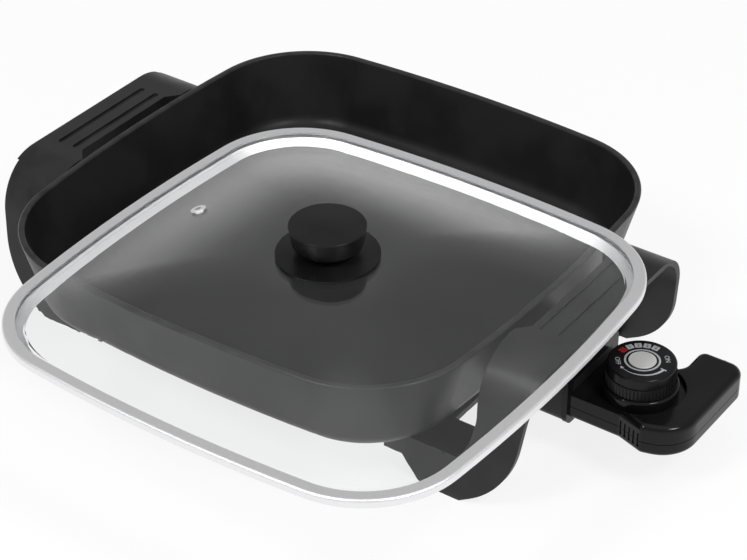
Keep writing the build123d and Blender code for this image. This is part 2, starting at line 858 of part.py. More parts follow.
def make_knob_skirt():
    """Round shield between the knob and the glass."""
    profile = Polyline(
        (glass_hole, dome_top),
        (skirt_radius, dome_top),
        (skirt_radius, dome_top + skirt_edge),
        (knob_neck + knob_waist_flare, knob_low),
        (glass_hole, knob_low),
        close=True,
    )
    return revolve(Plane.XZ * make_face(profile), Axis.Z)


def make_knob():
    """Mushroom knob: a narrow neck that flares into a flat-topped rim."""
    top = knob_low + knob_height
    neck = (knob_neck, knob_low)
    waist = (knob_neck + knob_waist_flare, knob_low + knob_waist)
    rim = (knob_radius, top - knob_rim)
    flare = Spline(neck, waist, rim, tangents=[(0, 1), (1, 1)])
    rest = Polyline(rim, (knob_radius, top), (0, top), (0, knob_low), neck)
    knob = revolve(Plane.XZ * make_face(flare + rest), Axis.Z)
    knob = fillet(knob.edges().group_by(Axis.Z)[-1], knob_round)
    return knob - Pos(Z=knob_low) * Cylinder(insert_radius, insert_length, align=BASE)


def make_knob_insert():
    insert = Cylinder(insert_radius, insert_length, align=BASE)
    return Pos(Z=knob_low) * (insert - Cylinder(lid_screw_radius, insert_length - insert_end, align=BASE))


def make_lid_washer():
    ring = extrude(Circle(washer_radius) - Circle(glass_hole), amount=washer_thick)
    return Pos(Z=washer_low) * ring


def make_lid_screw():
    length = knob_low + insert_length - insert_end - washer_low
    head = Cylinder(lid_screw_head_radius, lid_screw_head, align=TOP)
    head = fillet(head.faces().sort_by(Axis.Z)[0].edges(), lid_screw_round)
    return Pos(Z=washer_low) * (head + Cylinder(lid_screw_radius, length, align=BASE))


def lid_nodes():
    """The lid's pieces about its own axis, then laid ajar on the pan."""
    glass = make_lid_glass()
    plane = grommet_plane(glass)
    glass -= plane * Cylinder(vent_radius, 4 * glass_thick)
    pieces = {
        "lid_glass": glass,
        "lid_band": make_lid_band(),
        "lid_vent_grommet": make_grommet(plane),
        "lid_knob_skirt": make_knob_skirt(),
        "lid_knob": make_knob(),
        "lid_knob_insert": make_knob_insert(),
        "lid_washer": make_lid_washer(),
        "lid_screw": make_lid_screw(),
    }
    ajar = Pos(lid_shift_x, lid_shift_y, lid_base)
    return {name: ajar * piece for name, piece in pieces.items()}


def build():
    """All pieces by node name."""
    nodes = {
        "pan": make_pan(),
        "heating_element": element_tube(element_radius),
        "terminal_pins": make_terminal_pins(),
        "terminal_beads": make_terminal_beads(),
        "handle_left": Rot(Z=180) * make_handle(),
        "handle_right": make_right_handle(),
        "handle_screws_left": make_handle_screws(-1),
        "handle_screws_right": make_handle_screws(1),
        "socket_guard": make_guard(),
        "guard_screws": make_guard_screws(),
        "control_top_shell": make_top_shell(),
        "control_bottom_shell": make_bottom_shell(),
        "control_flange": make_flange(),
        "plug_block": make_plug_block(),
        "contact_sleeves": make_contact_sleeves(),
        "sensor_probe": make_probe(),
        "housing_screws": make_housing_screws(),
        "cord_bushing": make_bushing(),
        "thermostat_base": make_thermostat_base(),
        "contact_stack": make_contact_stack(),
        "contact_arms": make_contact_arms(),
        "pilot_lamp": make_pilot_lamp(),
        "dial": make_dial(),
        "dial_lens": make_dial_lens(),
        "dial_shaft": make_dial_shaft(),
    }
    nodes.update(lid_nodes())
    return nodes


if __name__ == "__main__":
    os.makedirs("parts", exist_ok=True)
    for name, shape in build().items():
        export_step(shape, f"parts/{name}.step")
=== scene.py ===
import json
import math
from collections import namedtuple

import bmesh
import bpy
from mathutils import Matrix, Vector

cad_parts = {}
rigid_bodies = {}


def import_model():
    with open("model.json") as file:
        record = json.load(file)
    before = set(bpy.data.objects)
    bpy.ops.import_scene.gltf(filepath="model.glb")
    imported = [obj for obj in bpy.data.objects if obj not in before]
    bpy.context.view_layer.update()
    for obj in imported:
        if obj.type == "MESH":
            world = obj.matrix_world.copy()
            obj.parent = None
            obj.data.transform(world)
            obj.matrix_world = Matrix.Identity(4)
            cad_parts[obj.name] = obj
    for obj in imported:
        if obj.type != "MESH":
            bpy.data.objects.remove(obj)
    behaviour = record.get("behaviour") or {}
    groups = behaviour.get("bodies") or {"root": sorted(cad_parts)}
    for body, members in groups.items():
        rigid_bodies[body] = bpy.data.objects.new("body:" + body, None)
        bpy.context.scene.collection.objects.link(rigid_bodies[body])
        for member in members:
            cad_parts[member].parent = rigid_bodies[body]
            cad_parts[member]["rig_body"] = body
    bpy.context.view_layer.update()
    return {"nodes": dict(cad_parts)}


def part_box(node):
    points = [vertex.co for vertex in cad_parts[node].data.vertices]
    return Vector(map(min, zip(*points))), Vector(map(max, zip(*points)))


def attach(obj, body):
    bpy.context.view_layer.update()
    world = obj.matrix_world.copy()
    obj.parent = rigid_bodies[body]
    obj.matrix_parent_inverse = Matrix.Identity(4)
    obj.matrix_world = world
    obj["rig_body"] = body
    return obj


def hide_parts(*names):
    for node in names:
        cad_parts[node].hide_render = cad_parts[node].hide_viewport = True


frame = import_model()

bl_info = {
    "name": "Electric Skillet",
    "version": (1, 0, 0),
    "blender": (4, 5, 0),
    "location": "View3D > Sidebar > Skillet",
    "description": "Finishes, dial print, screws and studio for a square electric skillet",
    "category": "Object",
}

MM = 0.001
FULL_TURN = 2 * math.pi
QUARTER_TURN = math.pi / 2

DIAL_LOW, DIAL_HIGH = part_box("dial")
DIAL_AXIS = (DIAL_LOW + DIAL_HIGH) / 2
DIAL_TOP = Vector((DIAL_AXIS.x, DIAL_AXIS.y, DIAL_HIGH.z))
RIM_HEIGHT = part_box("pan")[1].z

# colours of the small pieces
BRASS = (0.72, 0.55, 0.26)
CERAMIC = (0.7, 0.68, 0.62)
INK = (0.02, 0.02, 0.022)
LAMP_AMBER = (0.95, 0.5, 0.22)
PLATED = (0.7, 0.69, 0.66)
PROBE_STEEL = (0.74, 0.74, 0.74)
RUBBER = (0.02, 0.02, 0.02)
SCREW_STEEL = (0.5, 0.5, 0.51)
SHEATH = (0.2, 0.19, 0.18)
SHEATH_TINT = (0.12, 0.09, 0.07)
SPUN_SILVER = (0.62, 0.62, 0.6)
WHITE = (1.0, 1.0, 1.0, 1.0)

# relief of the finishes
GRAIN_DEPTH = 0.2 * MM
LINE_DEPTH = 0.1 * MM
GLASS_IOR = 1.47

# wear, or a painted highlight, between two heights: its tone times the colour, and its change of
# roughness
WearAndSheen = namedtuple("WearAndSheen", "low high fade tone polish")

# mesh work, with angles in degrees
WELD = 0.001 * MM
PRINT_WELD = 0.0001 * MM
FLAT_ANGLE = 0.5
EDGE_ANGLE = 50.0
SCREW_EDGE_ANGLE = 40.0
SCREW_SPACING = 10 * MM

# screws: sides, shares of the head, and the blade's share of the recess
HEAD_SIDES = 40
SHANK_SIDES = 24
CROWN_SHARE = 0.45
CROWN_LOW_SHARE = 0.78
CROWN_HIGH_SHARE = 0.97
COLLAR_START = 0.9 * CROWN_SHARE
SHANK_START = 0.6
RECESS_SHARE = 0.28
BLADE_SHARE = 4.0

# lid's knob
KNOB_NECK_SHARE = 0.6

# print on the dial
MARK_ROUND_SHARE = 0.12
HEAT_STEPS = 5
NUMERAL_SIZE = 3.5 * MM
NUMERAL_HEIGHT = 0.03 * MM
WORD_SIZE = 3.9 * MM
OFF_ANGLE = math.radians(217.0)
ON_ANGLE = math.radians(39.0)
ARROW_START = math.radians(246.0)
ARROW_SWEEP = math.radians(108.0)
ARROW_HEAD = math.radians(9.0)
ARROW_STOP = math.radians(3.5)

# studio
ROOM_LEVELS = ((0.5, 0.9), (0.62, 0.7), (0.78, 0.45), (0.94, 0.38), (0.99, 0.5))
FLOOR_REACH = 6.0
FLOOR_DROP = 0.2 * MM
FLOOR_GLOW = 0.84
LAMP_SIZE = 0.5
LAMP_AIM = Vector((0.03, -0.02, 0.06))
LAMP_PLACES = {
    "right_softbox": Vector((1.2, -0.21, 1.46)),
    "left_softbox": Vector((-0.21, -1.2, 1.46)),
}
SENSOR_WIDTH = 36.0
CAMERA_SHIFT = -0.0067
CAMERA_RIGHT = 25.697 * MM
CAMERA_DOWN = 45.158 * MM


def feed(tree, socket, value):
    """Link a socket to another node's output, or set its value."""
    if isinstance(value, bpy.types.NodeSocket):
        tree.links.new(value, socket)
    else:
        socket.default_value = value


def add(tree, kind, inputs=None, **settings):
    """New node with its settings, and inputs that are values or other nodes' sockets."""
    node = tree.nodes.new(kind)
    for name, value in settings.items():
        setattr(node, name, value)
    for name, value in (inputs or {}).items():
        feed(tree, node.inputs[name], value)
    return node


def math_node(tree, operation, first, second=0.0, third=0.0):
    """Output of a math node."""
    node = add(tree, "ShaderNodeMath", operation=operation)
    for socket, value in zip(node.inputs, (first, second, third)):
        feed(tree, socket, value)
    return node.outputs[0]


def spread(tree, value, low, high, to_low=0.0, to_high=1.0):
    """Output of a smooth map from one range to another."""
    ranges = {
        "Value": value,
        "From Min": low,
        "From Max": high,
        "To Min": to_low,
        "To Max": to_high,
    }
    return add(tree, "ShaderNodeMapRange", ranges, interpolation_type="SMOOTHSTEP").outputs[0]


def blend(tree, mask, first, second):
    """Colour between two colours by a mask, on the mix node's colour sockets."""
    node = add(tree, "ShaderNodeMix", {0: mask, 6: first, 7: second}, data_type="RGBA")
    return node.outputs[2]


def name_inputs(tree, inputs):
    """Named inputs of a group, with their defaults."""
    for label, kind, value in inputs:
        socket = tree.interface.new_socket(name=label, in_out="INPUT", socket_type=kind)
        if value is not None:
            socket.default_value = value


def ends(tree):
    """Sockets at a group's start and end."""
    return tree.nodes.new("NodeGroupInput").outputs, tree.nodes.new("NodeGroupOutput").inputs


def new_group(name, inputs, outputs):
    """Empty shader group with named sockets; returns its tree, start and end sockets."""
    group = bpy.data.node_groups.new(name, "ShaderNodeTree")
    name_inputs(group, inputs)
    for label in outputs:
        group.interface.new_socket(name=label, in_out="OUTPUT", socket_type="NodeSocketFloat")
    return group, *ends(group)


def moulded_grain_group():
    """Fine grain of a moulded or sprayed surface, and its slow mottling."""
    sizes = [("Vector", "NodeSocketVector", None), ("Scale", "NodeSocketFloat", 1500.0)]
    group, start, end = new_group("Moulded Grain", sizes, ("Height", "Mottle"))
    noise = {"Vector": start["Vector"], "Scale": start["Scale"], "Detail": 2.0}
    grain = add(group, "ShaderNodeTexNoise", noise)
    slow = math_node(group, "MULTIPLY", start["Scale"], 0.02)
    cloud_noise = {"Vector": start["Vector"], "Scale": slow, "Detail": 5.0}
    clouds = add(group, "ShaderNodeTexNoise", cloud_noise)
    group.links.new(grain.outputs["Fac"], end["Height"])
    group.links.new(spread(group, clouds.outputs["Fac"], 0.35, 0.65), end["Mottle"])
    return group


def hairline_group():
    """Thin scratches that run one way."""
    sizes = [
        ("Vector", "NodeSocketVector", None),
        ("Scale", "NodeSocketFloat", 900.0),
        ("Along", "NodeSocketFloat", 0.02),
    ]
    group, start, end = new_group("Hairlines", sizes, ("Mask",))
    stretch = add(group, "ShaderNodeCombineXYZ", {"X": start["Along"], "Y": 1.0, "Z": 1.0})
    factors = {0: start["Vector"], 1: stretch.outputs[0]}
    drawn = add(group, "ShaderNodeVectorMath", factors, operation="MULTIPLY")
    noise = {"Vector": drawn.outputs[0], "Scale": start["Scale"], "Detail": 3.0, "Distortion": 0.3}
    lines = add(group, "ShaderNodeTexNoise", noise)
    group.links.new(spread(group, lines.outputs["Fac"], 0.42, 0.62), end["Mask"])
    return group


def wear_and_sheen_band_group():
    """Wear or painted highlight between two heights, fading out and broken up."""
    sizes = [
        ("Vector", "NodeSocketVector", None),
        ("Low", "NodeSocketFloat", 0.0),
        ("High", "NodeSocketFloat", 0.01),
        ("Fade", "NodeSocketFloat", 0.001),
        ("Breakup", "NodeSocketFloat", 120.0),
    ]
    group, start, end = new_group("Wear And Sheen Band", sizes, ("Mask",))
    height = add(group, "ShaderNodeSeparateXYZ", {0: start["Vector"]}).outputs[2]
    below = math_node(group, "SUBTRACT", start["Low"], start["Fade"])
    above = math_node(group, "ADD", start["High"], start["Fade"])
    rise = spread(group, height, below, start["Low"])
    fall = spread(group, height, start["High"], above, 1.0, 0.0)
    noise = {"Vector": start["Vector"], "Scale": start["Breakup"], "Detail": 4.0}
    patches = add(group, "ShaderNodeTexNoise", noise)
    broken = spread(group, patches.outputs["Fac"], 0.3, 0.6, 0.35, 1.0)
    band = math_node(group, "MULTIPLY", rise, fall)
    group.links.new(math_node(group, "MULTIPLY", band, broken), end["Mask"])
    return group


def turned_rings_group():
    """Fine lathe rings about an upright axis."""
    sizes = [
        ("Vector", "NodeSocketVector", None),
        ("Centre", "NodeSocketVector", (0.0, 0.0, 0.0)),
        ("Pitch", "NodeSocketFloat", 0.0003),
    ]
    group, start, end = new_group("Turned Rings", sizes, ("Height",))
    offset = {0: start["Vector"], 1: start["Centre"]}
    arm = add(group, "ShaderNodeVectorMath", offset, operation="SUBTRACT")
    flat = {0: arm.outputs[0], 1: (1.0, 1.0, 0.0)}
    level = add(group, "ShaderNodeVectorMath", flat, operation="MULTIPLY")
    radius = add(group, "ShaderNodeVectorMath", {0: level.outputs[0]}, operation="LENGTH")
    turns = math_node(group, "DIVIDE", radius.outputs["Value"], start["Pitch"])
    ring = math_node(group, "PINGPONG", turns, 0.5)
    noise = {"Vector": start["Vector"], "Scale": 260.0, "Detail": 2.0}
    wobble = add(group, "ShaderNodeTexNoise", noise)
    group.links.new(math_node(group, "MULTIPLY", ring, wobble.outputs["Fac"]), end["Height"])
    return group


def placed(tree, group, **inputs):
    """Outputs of a shared group placed in a material, on Object coordinates and with its values."""
    node = add(tree, "ShaderNodeGroup", node_tree=group)
    tree.links.new(add(tree, "ShaderNodeTexCoord").outputs["Object"], node.inputs["Vector"])
    for name, value in inputs.items():
        node.inputs[name.title()].default_value = value
    return node.outputs


def new_material(name, **constants):
    """Node material whose shader has these constants; returns material, tree and shader."""
    material = bpy.data.materials.new(name)
    material.use_nodes = True
    tree = material.node_tree
    shader = tree.nodes["Principled BSDF"]
    for socket, value in constants.items():
        shader.inputs[socket.replace("_", " ")].default_value = value
    return material, tree, shader


def set_bump(tree, shader, height, strength, distance):
    """Bump on a shader's normal."""
    relief = {"Strength": strength, "Distance": distance, "Height": height}
    bump = add(tree, "ShaderNodeBump", relief)
    tree.links.new(bump.outputs[0], shader.inputs["Normal"])


def finish_shader(tree, shader, colour, roughness):
    """Colour and roughness that change over the surface."""
    tree.links.new(colour, shader.inputs["Base Color"])
    tree.links.new(roughness, shader.inputs["Roughness"])


def rgba(colour):
    """Opaque colour for a socket."""
    return (*colour, 1.0)


def shade(colour, factor):
    """Lighter or darker colour for a socket."""
    return rgba([min(1.0, channel * factor) for channel in colour])


def moulded_finish(name, groups, colour, roughness, scale, depth, wear=None, **constants):
    """Plastic or sprayed coating: grain, mottling, and wear or a painted highlight between two
    heights.
    """
    material, tree, shader = new_material(name, **constants)
    grain = placed(tree, groups["grain"], scale=scale)
    base = blend(tree, grain["Mottle"], shade(colour, 0.8), shade(colour, 1.25))
    rough = spread(tree, grain["Mottle"], 0.0, 1.0, roughness * 0.9, roughness * 1.12)
    if wear:
        # the band multiplies the colour by its tone: real wear on feet and grip, and on the pan's
        # rim a painted highlight
        band = placed(tree, groups["wear"], low=wear.low, high=wear.high, fade=wear.fade)["Mask"]
        base = blend(tree, band, base, shade(colour, wear.tone))
        rough = math_node(tree, "MULTIPLY_ADD", band, wear.polish, rough)
    finish_shader(tree, shader, base, rough)
    set_bump(tree, shader, grain["Height"], depth, GRAIN_DEPTH)
    return material


def metal_finish(name, groups, colour, roughness, along=0.02, tint=None, contrast=1.0):
    """Metal with hairlines and, where it has been hot, a slow tint."""
    material, tree, shader = new_material(name, Metallic=1.0)
    lines = placed(tree, groups["hairlines"], along=along)["Mask"]
    dark, bright = 1.0 - 0.1 * contrast, 1.0 + 0.05 * contrast
    smoothest, roughest = 1.0 - 0.2 * contrast, 1.0 + 0.3 * contrast
    base = blend(tree, lines, shade(colour, dark), shade(colour, bright))
    if tint:
        clouds = placed(tree, groups["grain"], scale=1400.0)["Mottle"]
        base = blend(tree, clouds, base, rgba(tint))
    rough = spread(tree, lines, 0.0, 1.0, roughness * smoothest, roughness * roughest)
    finish_shader(tree, shader, base, rough)
    set_bump(tree, shader, lines, 0.06 * contrast, LINE_DEPTH)
    return material


def turned_finish(name, groups, colour, roughness, pitch, metallic):
    """Surface with lathe rings about the dial's axis."""
    material, tree, shader = new_material(name, Metallic=metallic)
    rings = placed(tree, groups["rings"], centre=DIAL_AXIS, pitch=pitch)
    base = blend(tree, rings["Height"], shade(colour, 0.92), shade(colour, 1.06))
    rough = spread(tree, rings["Height"], 0.0, 0.4, roughness * 0.9, roughness * 1.15)
    finish_shader(tree, shader, base, rough)
    set_bump(tree, shader, rings["Height"], 0.05, LINE_DEPTH)
    return material


def glass_finish(name, colour, roughness):
    """Clear pressed glass, a little wavy, that lets lamp light through."""
    material, tree, shader = new_material(name, Transmission_Weight=1.0, IOR=GLASS_IOR)
    place = add(tree, "ShaderNodeTexCoord").outputs["Object"]
    noise = {"Vector": place, "Scale": 16.0, "Detail": 0.0}
    waves = add(tree, "ShaderNodeTexNoise", noise).outputs["Fac"]
    base = blend(tree, waves, shade(colour, 0.99), rgba(colour))
    rough = spread(tree, waves, 0.3, 0.7, roughness * 0.5, roughness * 1.5)
    finish_shader(tree, shader, base, rough)
    set_bump(tree, shader, waves, 0.05, GRAIN_DEPTH)
    path = add(tree, "ShaderNodeLightPath").outputs
    passing = math_node(tree, "MAXIMUM", path["Is Shadow Ray"], path["Is Diffuse Ray"])
    clear = add(tree, "ShaderNodeBsdfTransparent", {"Color": rgba(colour)})
    sides = {0: passing, 1: shader.outputs[0], 2: clear.outputs[0]}
    mixed = add(tree, "ShaderNodeMixShader", sides)
    tree.links.new(mixed.outputs[0], tree.nodes["Material Output"].inputs["Surface"])
    return material


def finish_groups():
    """The shared shader groups, built once."""
    makers = {
        "grain": ("Moulded Grain", moulded_grain_group),
        "hairlines": ("Hairlines", hairline_group),
        "wear": ("Wear And Sheen Band", wear_and_sheen_band_group),
        "rings": ("Turned Rings", turned_rings_group),
    }
    return {key: bpy.data.node_groups.get(name) or make() for key, (name, make) in makers.items()}


def dress(material, *names):
    """Assign a material to CAD nodes."""
    for name in names:
        for slot in frame["nodes"][name].material_slots:
            slot.material = material


def linked(name, data):
    """Object in the scene for a mesh, curve, lamp or camera."""
    holder = bpy.data.objects.new(name, data)
    bpy.context.scene.collection.objects.link(holder)
    return holder


def new_piece(name, mesh, body):
    """Object for a finished mesh that sits at the origin and rides on a body."""
    piece = linked(name, mesh)
    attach(piece, body)
    return piece


def baked(maker):
    """Plain mesh of an object with its modifiers; the object is removed."""
    graph = bpy.context.evaluated_depsgraph_get()
    mesh = bpy.data.meshes.new_from_object(maker.evaluated_get(graph))
    source = maker.data
    bpy.data.objects.remove(maker)
    if source.users == 0 and isinstance(source, bpy.types.Mesh):
        bpy.data.meshes.remove(source)
    return mesh


def smooth(mesh, angle=35.0):
    """Smooth shading with sharp edges above an angle."""
    mesh.shade_smooth()
    mesh.set_sharp_from_angle(angle=math.radians(angle))
    return mesh


def softened(node, material, width):
    """Copy of a CAD node with small rounds on its edges, which stands for that node."""
    source = frame["nodes"][node]
    mesh = source.data.copy()
    bm = bmesh.new()
    bm.from_mesh(mesh)
    bmesh.ops.remove_doubles(bm, verts=bm.verts, dist=WELD)
    flat = math.radians(FLAT_ANGLE)
    bmesh.ops.dissolve_limit(bm, angle_limit=flat, verts=bm.verts, edges=bm.edges)
    bm.to_mesh(mesh)
    bm.free()
    maker = linked(node + "_maker", mesh)
    bevel = maker.modifiers.new("Edge rounds", "BEVEL")
    bevel.width = width
    bevel.segments = 2
    bevel.limit_method = "ANGLE"
    bevel.angle_limit = math.radians(EDGE_ANGLE)
    bevel.use_clamp_overlap = True
    smooth(mesh, EDGE_ANGLE)
    even = maker.modifiers.new("Even shading", "WEIGHTED_NORMAL")
    even.keep_sharp = True
    result = baked(maker)
    result.materials.clear()
    result.materials.append(material)
    piece = new_piece(node + "_moulding", result, source["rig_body"])
    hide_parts(node)


def geometry_tree(name, sizes):
    """Geometry tree with named inputs; returns the tree, start and end sockets."""
    tree = bpy.data.node_groups.new(name, "GeometryNodeTree")
    name_inputs(tree, [("Geometry", "NodeSocketGeometry", None), *sizes])
    tree.interface.new_socket(name="Geometry", in_out="OUTPUT", socket_type="NodeSocketGeometry")
    return tree, *ends(tree)


def finish_tree(tree, start, end, geometry):
    """Realize the instances and set the material, as the last two nodes."""
    real = add(tree, "GeometryNodeRealizeInstances", {"Geometry": geometry})
    dressed = {"Geometry": real.outputs[0], "Material": start["Material"]}
    done = add(tree, "GeometryNodeSetMaterial", dressed)
    tree.links.new(done.outputs[0], end["Geometry"])


def run_tree(tree, points, values):
    """Plain mesh that a geometry tree makes from points."""
    mesh = bpy.data.meshes.new(tree.name)
    mesh.from_pydata(points, [], [])
    maker = linked(tree.name, mesh)
    modifier = maker.modifiers.new(tree.name, "NODES")
    modifier.node_group = tree
    for item in tree.interface.items_tree:
        if item.in_out == "INPUT" and item.name in values:
            modifier[item.identifier] = values[item.name]
    return baked(maker)


def vector_of(tree, x, y, z):
    """Vector made of three values or sockets."""
    return add(tree, "ShaderNodeCombineXYZ", {"X": x, "Y": y, "Z": z}).outputs[0]


def screw_tree():
    """Pan-head screws with a cross recess, heads down, one on each point."""
    sizes = [
        ("Head Radius", "NodeSocketFloat", 0.004),
        ("Head Height", "NodeSocketFloat", 0.0024),
        ("Shank Radius", "NodeSocketFloat", 0.002),
        ("Length", "NodeSocketFloat", 0.02),
        ("Recess", "NodeSocketFloat", 0.0012),
        ("Material", "NodeSocketMaterial", None),
    ]
    tree, start, end = geometry_tree("Cross Recess Screws", sizes)
    crown = math_node(tree, "MULTIPLY", start["Head Height"], CROWN_SHARE)
    crown_low = math_node(tree, "MULTIPLY", start["Head Radius"], CROWN_LOW_SHARE)
    crown_high = math_node(tree, "MULTIPLY", start["Head Radius"], CROWN_HIGH_SHARE)
    cone = {
        "Vertices": HEAD_SIDES,
        "Radius Top": crown_high,
        "Radius Bottom": crown_low,
        "Depth": crown,
    }
    parts = [add(tree, "GeometryNodeMeshCone", cone).outputs["Mesh"]]
    # collar and shank start inside what they stand on, so the union leaves no face between them
    collar_low = math_node(tree, "MULTIPLY", start["Head Height"], COLLAR_START)
    shank_low = math_node(tree, "MULTIPLY", start["Head Height"], SHANK_START)
    bars = (
        (HEAD_SIDES, start["Head Radius"], collar_low, start["Head Height"]),
        (SHANK_SIDES, start["Shank Radius"], shank_low, start["Length"]),
    )
    for sides, radius, low, high in bars:
        depth = math_node(tree, "SUBTRACT", high, low)
        bar = {"Vertices": sides, "Radius": radius, "Depth": depth}
        middle = math_node(tree, "MULTIPLY_ADD", depth, 0.5, low)
        lifted = {
            "Geometry": add(tree, "GeometryNodeMeshCylinder", bar).outputs["Mesh"],
            "Translation": vector_of(tree, 0.0, 0.0, middle),
        }
        parts.append(add(tree, "GeometryNodeTransform", lifted).outputs[0])
    whole = add(tree, "GeometryNodeMeshBoolean", operation="UNION", solver="EXACT")
    for part in parts:
        tree.links.new(part, whole.inputs["Mesh 2"])
    blade = math_node(tree, "MULTIPLY", start["Recess"], BLADE_SHARE)
    uncut = {"Mesh 1": whole.outputs[0]}
    cut = add(tree, "GeometryNodeMeshBoolean", uncut, operation="DIFFERENCE", solver="EXACT")
    for sides in ((blade, start["Recess"]), (start["Recess"], blade)):
        size = {"Size": vector_of(tree, *sides, start["Head Height"])}
        slot = add(tree, "GeometryNodeMeshCube", size)
        tree.links.new(slot.outputs["Mesh"], cut.inputs["Mesh 2"])
    spots = {"Points": start["Geometry"], "Instance": cut.outputs[0]}
    copies = add(tree, "GeometryNodeInstanceOnPoints", spots)
    finish_tree(tree, start, end, copies.outputs[0])
    return tree


def arc_marks_tree():
    """Flat rounded marks spread along an arc about a point."""
    sizes = [
        ("Radius", "NodeSocketFloat", 0.0136),
        ("First Angle", "NodeSocketFloat", 0.0),
        ("Sweep", "NodeSocketFloat", 1.0),
        ("Count", "NodeSocketInt", 4),
        ("Width", "NodeSocketFloat", 0.0036),
        ("Depth", "NodeSocketFloat", 0.0036),
        ("Thickness", "NodeSocketFloat", 0.00005),
        ("Material", "NodeSocketMaterial", None),
    ]
    tree, start, end = geometry_tree("Marks On An Arc", sizes)
    arc = {
        "Resolution": start["Count"],
        "Radius": start["Radius"],
        "Start Angle": start["First Angle"],
        "Sweep Angle": start["Sweep"],
    }
    curve = add(tree, "GeometryNodeCurveArc", arc, mode="RADIUS").outputs["Curve"]
    spots = add(tree, "GeometryNodeCurveToPoints", {"Curve": curve}, mode="EVALUATED")
    corner = math_node(tree, "MULTIPLY", start["Width"], MARK_ROUND_SHARE)
    outline = {"Width": start["Depth"], "Height": start["Width"]}
    square = add(tree, "GeometryNodeCurvePrimitiveQuadrilateral", outline).outputs["Curve"]
    rounds = {"Curve": square, "Radius": corner, "Count": 4}
    rounded = add(tree, "GeometryNodeFilletCurve", rounds, mode="POLY")
    filled = add(tree, "GeometryNodeFillCurve", {"Curve": rounded.outputs[0]}, mode="NGONS")
    lift = {"Mesh": filled.outputs[0], "Offset Scale": start["Thickness"], "Individual": False}
    raised = add(tree, "GeometryNodeExtrudeMesh", lift)
    under = add(tree, "GeometryNodeFlipFaces", {"Mesh": filled.outputs[0]})
    both = add(tree, "GeometryNodeJoinGeometry")
    for part in (raised, under):
        tree.links.new(part.outputs["Mesh"], both.inputs[0])
    weld = {"Geometry": both.outputs[0], "Distance": WELD}
    mark = add(tree, "GeometryNodeMergeByDistance", weld)
    position = add(tree, "GeometryNodeInputPosition").outputs[0]
    axes = add(tree, "ShaderNodeSeparateXYZ", {0: position}).outputs
    turn = math_node(tree, "ARCTAN2", axes[1], axes[0])
    turns = vector_of(tree, 0.0, 0.0, turn)
    copies = {
        "Points": spots.outputs["Points"],
        "Instance": mark.outputs[0],
        "Rotation": turns,
    }
    marks = add(tree, "GeometryNodeInstanceOnPoints", copies)
    rings = {"Points": start["Geometry"], "Instance": marks.outputs[0]}
    placed_marks = add(tree, "GeometryNodeInstanceOnPoints", rings)
    finish_tree(tree, start, end, placed_marks.outputs[0])
    return tree


def upright_axes(node):
    """Foot points of a node's separate upright solids, and the node's height."""
    low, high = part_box(node)
    spots = []
    for vertex in frame["nodes"][node].data.vertices:
        flat = Vector((vertex.co.x, vertex.co.y))
        near = next((s for s in spots if ((s[0] + s[1]) / 2 - flat).length < SCREW_SPACING), None)
        if near:
            near[0] = Vector(map(min, near[0], flat))
            near[1] = Vector(map(max, near[1], flat))
        else:
            spots.append([flat.copy(), flat.copy()])
    return [Vector((*((a + b) / 2), low.z)) for a, b in spots], high.z - low.z


def outward(angle, radius=1.0):
    """Level vector of a length in a direction."""
    return Vector((math.cos(angle), math.sin(angle), 0.0)) * radius


def flat_band(bm, centre, inner, outer, start, sweep, low, high, steps):
    """Thin curved strip about an upright axis; each radius is a (first, last) pair."""
    rows = []
    closed = sweep >= FULL_TURN
    count = steps if closed else steps + 1
    for i in range(count):
        share = i / steps
        angle = start + sweep * share
        way = outward(angle)
        row = []
        for first, last in (inner, outer):
            spot = centre + way * (first + (last - first) * share)
            row.append([bm.verts.new((spot.x, spot.y, z)) for z in (low, high)])
        rows.append(row)
    pairs = [(rows[i], rows[(i + 1) % count]) for i in range(steps)]
    for (a_in, a_out), (b_in, b_out) in pairs:
        bm.faces.new((a_in[1], a_out[1], b_out[1], b_in[1]))
        bm.faces.new((a_in[0], b_in[0], b_out[0], a_out[0]))
        bm.faces.new((a_out[0], b_out[0], b_out[1], a_out[1]))
        bm.faces.new((a_in[0], a_in[1], b_in[1], b_in[0]))
    if not closed:
        (a_in, a_out), (b_in, b_out) = rows[0], rows[-1]
        bm.faces.new((a_in[0], a_out[0], a_out[1], a_in[1]))
        bm.faces.new((b_in[0], b_in[1], b_out[1], b_out[0]))


def raised_text(words, size, thickness):
    """Mesh of words centred on the origin, flat on z 0."""
    curve = bpy.data.curves.new("words", "FONT")
    curve.body = words
    curve.size = size
    curve.align_x = "CENTER"
    curve.align_y = "CENTER"
    curve.extrude = thickness / 2
    curve.resolution_u = 3
    mesh = baked(linked("words", curve))
    mesh.transform(Matrix.Translation((0.0, 0.0, thickness / 2)))
    return mesh


def add_mesh(bm, mesh, matrix):
    """Add a placed mesh to a bmesh."""
    mesh.transform(matrix)
    bm.from_mesh(mesh)
    bpy.data.meshes.remove(mesh)


def finished_mesh(name, bm, material):
    """Mesh of a bmesh, with outward normals and one material."""
    bmesh.ops.remove_doubles(bm, verts=bm.verts, dist=PRINT_WELD)
    bmesh.ops.recalc_face_normals(bm, faces=bm.faces)
    mesh = bpy.data.meshes.new(name)
    bm.to_mesh(mesh)
    bm.free()
    mesh.materials.append(material)
    return mesh


def eased(corners, steps=6):
    """Line through (radius, height, easing) corners, each rounded off over its easing distance."""
    points = [Vector(corner[:2]) for corner in corners]
    line = [points[0]]
    for i in range(1, len(points) - 1):
        corner, reach = points[i], corners[i][2]
        start = corner + (points[i - 1] - corner).normalized() * reach
        end = corner + (points[i + 1] - corner).normalized() * reach
        for step in range(steps + 1):
            share = step / steps
            line.append(start.lerp(corner, share).lerp(corner.lerp(end, share), share))
    return line + [points[-1]]


